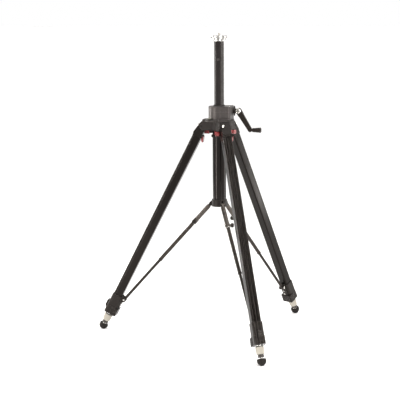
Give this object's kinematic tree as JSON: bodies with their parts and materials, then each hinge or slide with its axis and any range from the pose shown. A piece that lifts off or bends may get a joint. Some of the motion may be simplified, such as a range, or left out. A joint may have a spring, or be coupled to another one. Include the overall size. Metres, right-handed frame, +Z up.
{
  "type": "geared column tripod stand",
  "caption": "Tripod stand with folding crank, rack-and-pinion column, telescopic legs and braces, and a stud head, for lights and studio equipment.",
  "frame": {"origin": "on the floor, on the column's axis, midway between the three feet's contact points", "axes": "+Z up along the column; +X along the crank shaft, away from the housing; one leg points along -X"},
  "size_m": [0.733, 0.8412, 1.154],
  "materials": {
    "casting_black": "satin black casting",
    "housing_dark": "satin dark grey casting",
    "bush_black": "matt moulding",
    "column_dark": "satin anodised",
    "plug_black": "matt moulding",
    "disc_silver": "turned and polished",
    "stud_steel": "zinc plated",
    "shaft_steel": "ground steel",
    "knob_black": "moulded",
    "crank_black": "satin black",
    "screw_chrome": "bright",
    "grip_black": "soft moulding",
    "guide_gloss": "gloss black anodised",
    "collar_black": "satin black casting",
    "bolt_chrome": "bright",
    "level_glass": "clear green fluid",
    "fitting_gloss": "gloss black paint",
    "tube_gloss": "gloss black anodised",
    "clamp_black": "satin black casting",
    "mid_tube": "anodised",
    "low_tube": "anodised",
    "ferrule_grey": "matt ribbed moulding",
    "spindle": "black cap, bright stem",
    "foot_rubber": "moulded rubber",
    "trigger_red": "red moulding",
    "sleeve_dark": "satin dark",
    "brace_dark": "satin dark",
    "rod_dark": "satin dark"
  },
  "bodies": {
    "base": {"shoulder_casting": "casting_black", "gear_housing": "housing_dark", "housing_cap": "housing_dark", "column_bush": "bush_black", "guide_tube": "guide_gloss", "brace_collar": "collar_black", "hinge_bolts": "bolt_chrome", "bubble_level": "level_glass"},
    "column": {"column": "column_dark", "column_end_plug": "plug_black", "head_disc": "disc_silver", "head_stud": "stud_steel"},
    "crank_drive": {"pinion_shaft": "shaft_steel", "crank_hub": "crank_black"},
    "crank_swing": {"crank_arm": "crank_black", "crank_pivot_screw": "screw_chrome"},
    "crank_handle": {"crank_grip": "grip_black"},
    "drag_knob": {"friction_knob": "knob_black"},
    "leg_1": {"leg_1_top_fitting": "fitting_gloss", "leg_1_outer_tube": "tube_gloss", "leg_1_clamp_casting": "clamp_black"},
    "leg_1_mid": {"leg_1_mid_tube": "mid_tube"},
    "leg_1_low": {"leg_1_low_tube": "low_tube", "leg_1_ferrule": "ferrule_grey", "leg_1_foot_spindle": "spindle"},
    "leg_1_foot": {"leg_1_rubber_foot": "foot_rubber"},
    "leg_1_trigger_up": {"leg_1_trigger_upper": "trigger_red"},
    "leg_1_trigger_low": {"leg_1_trigger_lower": "trigger_red"},
    "leg_1_brace": {"leg_1_brace_sleeve": "sleeve_dark"},
    "leg_1_brace_mid": {"leg_1_brace_mid_tube": "brace_dark"},
    "leg_1_brace_rod": {"leg_1_brace_rod": "rod_dark"},
    "leg_1_knob": {"leg_1_brace_knob": "knob_black"},
    "leg_2": {"leg_2_top_fitting": "fitting_gloss", "leg_2_outer_tube": "tube_gloss", "leg_2_clamp_casting": "clamp_black"},
    "leg_2_mid": {"leg_2_mid_tube": "mid_tube"},
    "leg_2_low": {"leg_2_low_tube": "low_tube", "leg_2_ferrule": "ferrule_grey", "leg_2_foot_spindle": "spindle"},
    "leg_2_foot": {"leg_2_rubber_foot": "foot_rubber"},
    "leg_2_trigger_up": {"leg_2_trigger_upper": "trigger_red"},
    "leg_2_trigger_low": {"leg_2_trigger_lower": "trigger_red"},
    "leg_2_brace": {"leg_2_brace_sleeve": "sleeve_dark"},
    "leg_2_brace_mid": {"leg_2_brace_mid_tube": "brace_dark"},
    "leg_2_brace_rod": {"leg_2_brace_rod": "rod_dark"},
    "leg_2_knob": {"leg_2_brace_knob": "knob_black"},
    "leg_3": {"leg_3_top_fitting": "fitting_gloss", "leg_3_outer_tube": "tube_gloss", "leg_3_clamp_casting": "clamp_black"},
    "leg_3_mid": {"leg_3_mid_tube": "mid_tube"},
    "leg_3_low": {"leg_3_low_tube": "low_tube", "leg_3_ferrule": "ferrule_grey", "leg_3_foot_spindle": "spindle"},
    "leg_3_foot": {"leg_3_rubber_foot": "foot_rubber"},
    "leg_3_trigger_up": {"leg_3_trigger_upper": "trigger_red"},
    "leg_3_trigger_low": {"leg_3_trigger_lower": "trigger_red"},
    "leg_3_brace": {"leg_3_brace_sleeve": "sleeve_dark"},
    "leg_3_brace_mid": {"leg_3_brace_mid_tube": "brace_dark"},
    "leg_3_brace_rod": {"leg_3_brace_rod": "rod_dark"},
    "leg_3_knob": {"leg_3_brace_knob": "knob_black"}
  },
  "joints": [
    {"name": "column_slide", "type": "slide", "parent": "base", "child": "column", "axis": [0, 0, 1], "range_m": [-0.234, 0.29]},
    {"name": "crank_spin", "type": "hinge", "parent": "base", "child": "crank_drive", "pos_m": [0, 0.0287, 0.8615], "axis": [1, 0, 0], "range_deg": [-1190, 960]},
    {"name": "crank_fold", "type": "hinge", "parent": "crank_drive", "child": "crank_swing", "pos_m": [0.0686, 0.0287, 0.8615], "axis": [0, -1, 0], "range_deg": [0, 60]},
    {"name": "grip_spin", "type": "hinge", "parent": "crank_swing", "child": "crank_handle", "pos_m": [0.11334, 0.0287, 0.78934], "axis": [1, 0, 0], "continuous": true},
    {"name": "drag_knob_turn", "type": "hinge", "parent": "base", "child": "drag_knob", "pos_m": [0.0534, 0.0287, 0.8615], "axis": [1, 0, 0], "range_deg": [0, 120]},
    {"name": "leg_1_spread", "type": "hinge", "parent": "base", "child": "leg_1", "pos_m": [-0.064, 0, 0.80599], "axis": [0, -1, 0], "range_deg": [0, 26]},
    {"name": "leg_1_extend_mid", "type": "slide", "parent": "leg_1", "child": "leg_1_mid", "axis": [-0.454, 0, -0.891], "range_m": [0, 0.5]},
    {"name": "leg_1_extend_low", "type": "slide", "parent": "leg_1_mid", "child": "leg_1_low", "axis": [-0.454, 0, -0.891], "range_m": [0, 0.5]},
    {"name": "leg_1_foot_screw", "type": "slide", "parent": "leg_1_low", "child": "leg_1_foot", "axis": [0.454, 0, 0.891], "range_m": [0, 0.0055]},
    {"name": "leg_1_trigger_upper_pull", "type": "hinge", "parent": "base", "child": "leg_1_trigger_up", "pos_m": [-0.03, 0, 0.783], "axis": [0, -1, 0], "range_deg": [0, 10], "stiffness_Nm_per_rad": 0.6, "springref_deg": -17.19},
    {"name": "leg_1_trigger_lower_pull", "type": "hinge", "parent": "leg_1", "child": "leg_1_trigger_low", "pos_m": [-0.06308, 0, 0.76287], "axis": [0, -1, 0], "range_deg": [0, 12], "stiffness_Nm_per_rad": 0.4, "springref_deg": -17.19},
    {"name": "leg_1_brace_swing", "type": "hinge", "parent": "base", "child": "leg_1_brace", "pos_m": [-0.033, 0, 0.51], "axis": [0, -1, 0], "range_deg": [0, 40.08]},
    {"name": "leg_1_brace_mid_slide", "type": "slide", "parent": "leg_1_brace", "child": "leg_1_brace_mid", "axis": [-0.6662, 0, -0.7458], "range_m": [-0.03177, 0]},
    {"name": "leg_1_brace_rod_slide", "type": "slide", "parent": "leg_1_brace_mid", "child": "leg_1_brace_rod", "axis": [-0.6662, 0, -0.7458], "range_m": [-0.03177, 0]},
    {"name": "leg_1_brace_knob_turn", "type": "hinge", "parent": "leg_1_brace", "child": "leg_1_knob", "pos_m": [-0.09495, -0.018, 0.44064], "axis": [0, -1, 0], "range_deg": [0, 270]},
    {"name": "leg_2_spread", "type": "hinge", "parent": "base", "child": "leg_2", "pos_m": [0.032, -0.05543, 0.80599], "axis": [0.866, 0.5, 0], "range_deg": [0, 26]},
    {"name": "leg_2_extend_mid", "type": "slide", "parent": "leg_2", "child": "leg_2_mid", "axis": [0.227, -0.3932, -0.891], "range_m": [0, 0.5]},
    {"name": "leg_2_extend_low", "type": "slide", "parent": "leg_2_mid", "child": "leg_2_low", "axis": [0.227, -0.3932, -0.891], "range_m": [0, 0.5]},
    {"name": "leg_2_foot_screw", "type": "slide", "parent": "leg_2_low", "child": "leg_2_foot", "axis": [-0.227, 0.3932, 0.891], "range_m": [0, 0.0055]},
    {"name": "leg_2_trigger_upper_pull", "type": "hinge", "parent": "base", "child": "leg_2_trigger_up", "pos_m": [0.015, -0.02598, 0.783], "axis": [0.866, 0.5, 0], "range_deg": [0, 10], "stiffness_Nm_per_rad": 0.6, "springref_deg": -17.19},
    {"name": "leg_2_trigger_lower_pull", "type": "hinge", "parent": "leg_2", "child": "leg_2_trigger_low", "pos_m": [0.03154, -0.05462, 0.76287], "axis": [0.866, 0.5, 0], "range_deg": [0, 12], "stiffness_Nm_per_rad": 0.4, "springref_deg": -17.19},
    {"name": "leg_2_brace_swing", "type": "hinge", "parent": "base", "child": "leg_2_brace", "pos_m": [0.0165, -0.02858, 0.51], "axis": [0.866, 0.5, 0], "range_deg": [0, 40.08]},
    {"name": "leg_2_brace_mid_slide", "type": "slide", "parent": "leg_2_brace", "child": "leg_2_brace_mid", "axis": [0.3331, -0.5769, -0.7458], "range_m": [-0.03177, 0]},
    {"name": "leg_2_brace_rod_slide", "type": "slide", "parent": "leg_2_brace_mid", "child": "leg_2_brace_rod", "axis": [0.3331, -0.5769, -0.7458], "range_m": [-0.03177, 0]},
    {"name": "leg_2_brace_knob_turn", "type": "hinge", "parent": "leg_2_brace", "child": "leg_2_knob", "pos_m": [0.06307, -0.07323, 0.44064], "axis": [0.866, 0.5, 0], "range_deg": [0, 270]},
    {"name": "leg_3_spread", "type": "hinge", "parent": "base", "child": "leg_3", "pos_m": [0.032, 0.05543, 0.80599], "axis": [-0.866, 0.5, 0], "range_deg": [0, 26]},
    {"name": "leg_3_extend_mid", "type": "slide", "parent": "leg_3", "child": "leg_3_mid", "axis": [0.227, 0.3932, -0.891], "range_m": [0, 0.5]},
    {"name": "leg_3_extend_low", "type": "slide", "parent": "leg_3_mid", "child": "leg_3_low", "axis": [0.227, 0.3932, -0.891], "range_m": [0, 0.5]},
    {"name": "leg_3_foot_screw", "type": "slide", "parent": "leg_3_low", "child": "leg_3_foot", "axis": [-0.227, -0.3932, 0.891], "range_m": [0, 0.0055]},
    {"name": "leg_3_trigger_upper_pull", "type": "hinge", "parent": "base", "child": "leg_3_trigger_up", "pos_m": [0.015, 0.02598, 0.783], "axis": [-0.866, 0.5, 0], "range_deg": [0, 10], "stiffness_Nm_per_rad": 0.6, "springref_deg": -17.19},
    {"name": "leg_3_trigger_lower_pull", "type": "hinge", "parent": "leg_3", "child": "leg_3_trigger_low", "pos_m": [0.03154, 0.05462, 0.76287], "axis": [-0.866, 0.5, 0], "range_deg": [0, 12], "stiffness_Nm_per_rad": 0.4, "springref_deg": -17.19},
    {"name": "leg_3_brace_swing", "type": "hinge", "parent": "base", "child": "leg_3_brace", "pos_m": [0.0165, 0.02858, 0.51], "axis": [-0.866, 0.5, 0], "range_deg": [0, 40.08]},
    {"name": "leg_3_brace_mid_slide", "type": "slide", "parent": "leg_3_brace", "child": "leg_3_brace_mid", "axis": [0.3331, 0.5769, -0.7458], "range_m": [-0.03177, 0]},
    {"name": "leg_3_brace_rod_slide", "type": "slide", "parent": "leg_3_brace_mid", "child": "leg_3_brace_rod", "axis": [0.3331, 0.5769, -0.7458], "range_m": [-0.03177, 0]},
    {"name": "leg_3_brace_knob_turn", "type": "hinge", "parent": "leg_3_brace", "child": "leg_3_knob", "pos_m": [0.03189, 0.09123, 0.44064], "axis": [-0.866, 0.5, 0], "range_deg": [0, 270]}
  ],
  "couplings": [
    {"joint": "crank_spin", "follows": "column_slide", "rad_per_m": -71.429},
    {"joint": "leg_1_brace_swing", "follows": "leg_1_spread", "ratio": 1.5338},
    {"joint": "leg_1_brace_mid_slide", "follows": "leg_1_spread", "m_per_rad": -0.069342},
    {"joint": "leg_1_brace_rod_slide", "follows": "leg_1_spread", "m_per_rad": -0.069342},
    {"joint": "leg_2_brace_swing", "follows": "leg_2_spread", "ratio": 1.5338},
    {"joint": "leg_2_brace_mid_slide", "follows": "leg_2_spread", "m_per_rad": -0.069342},
    {"joint": "leg_2_brace_rod_slide", "follows": "leg_2_spread", "m_per_rad": -0.069342},
    {"joint": "leg_3_brace_swing", "follows": "leg_3_spread", "ratio": 1.5338},
    {"joint": "leg_3_brace_mid_slide", "follows": "leg_3_spread", "m_per_rad": -0.069342},
    {"joint": "leg_3_brace_rod_slide", "follows": "leg_3_spread", "m_per_rad": -0.069342}
  ]
}
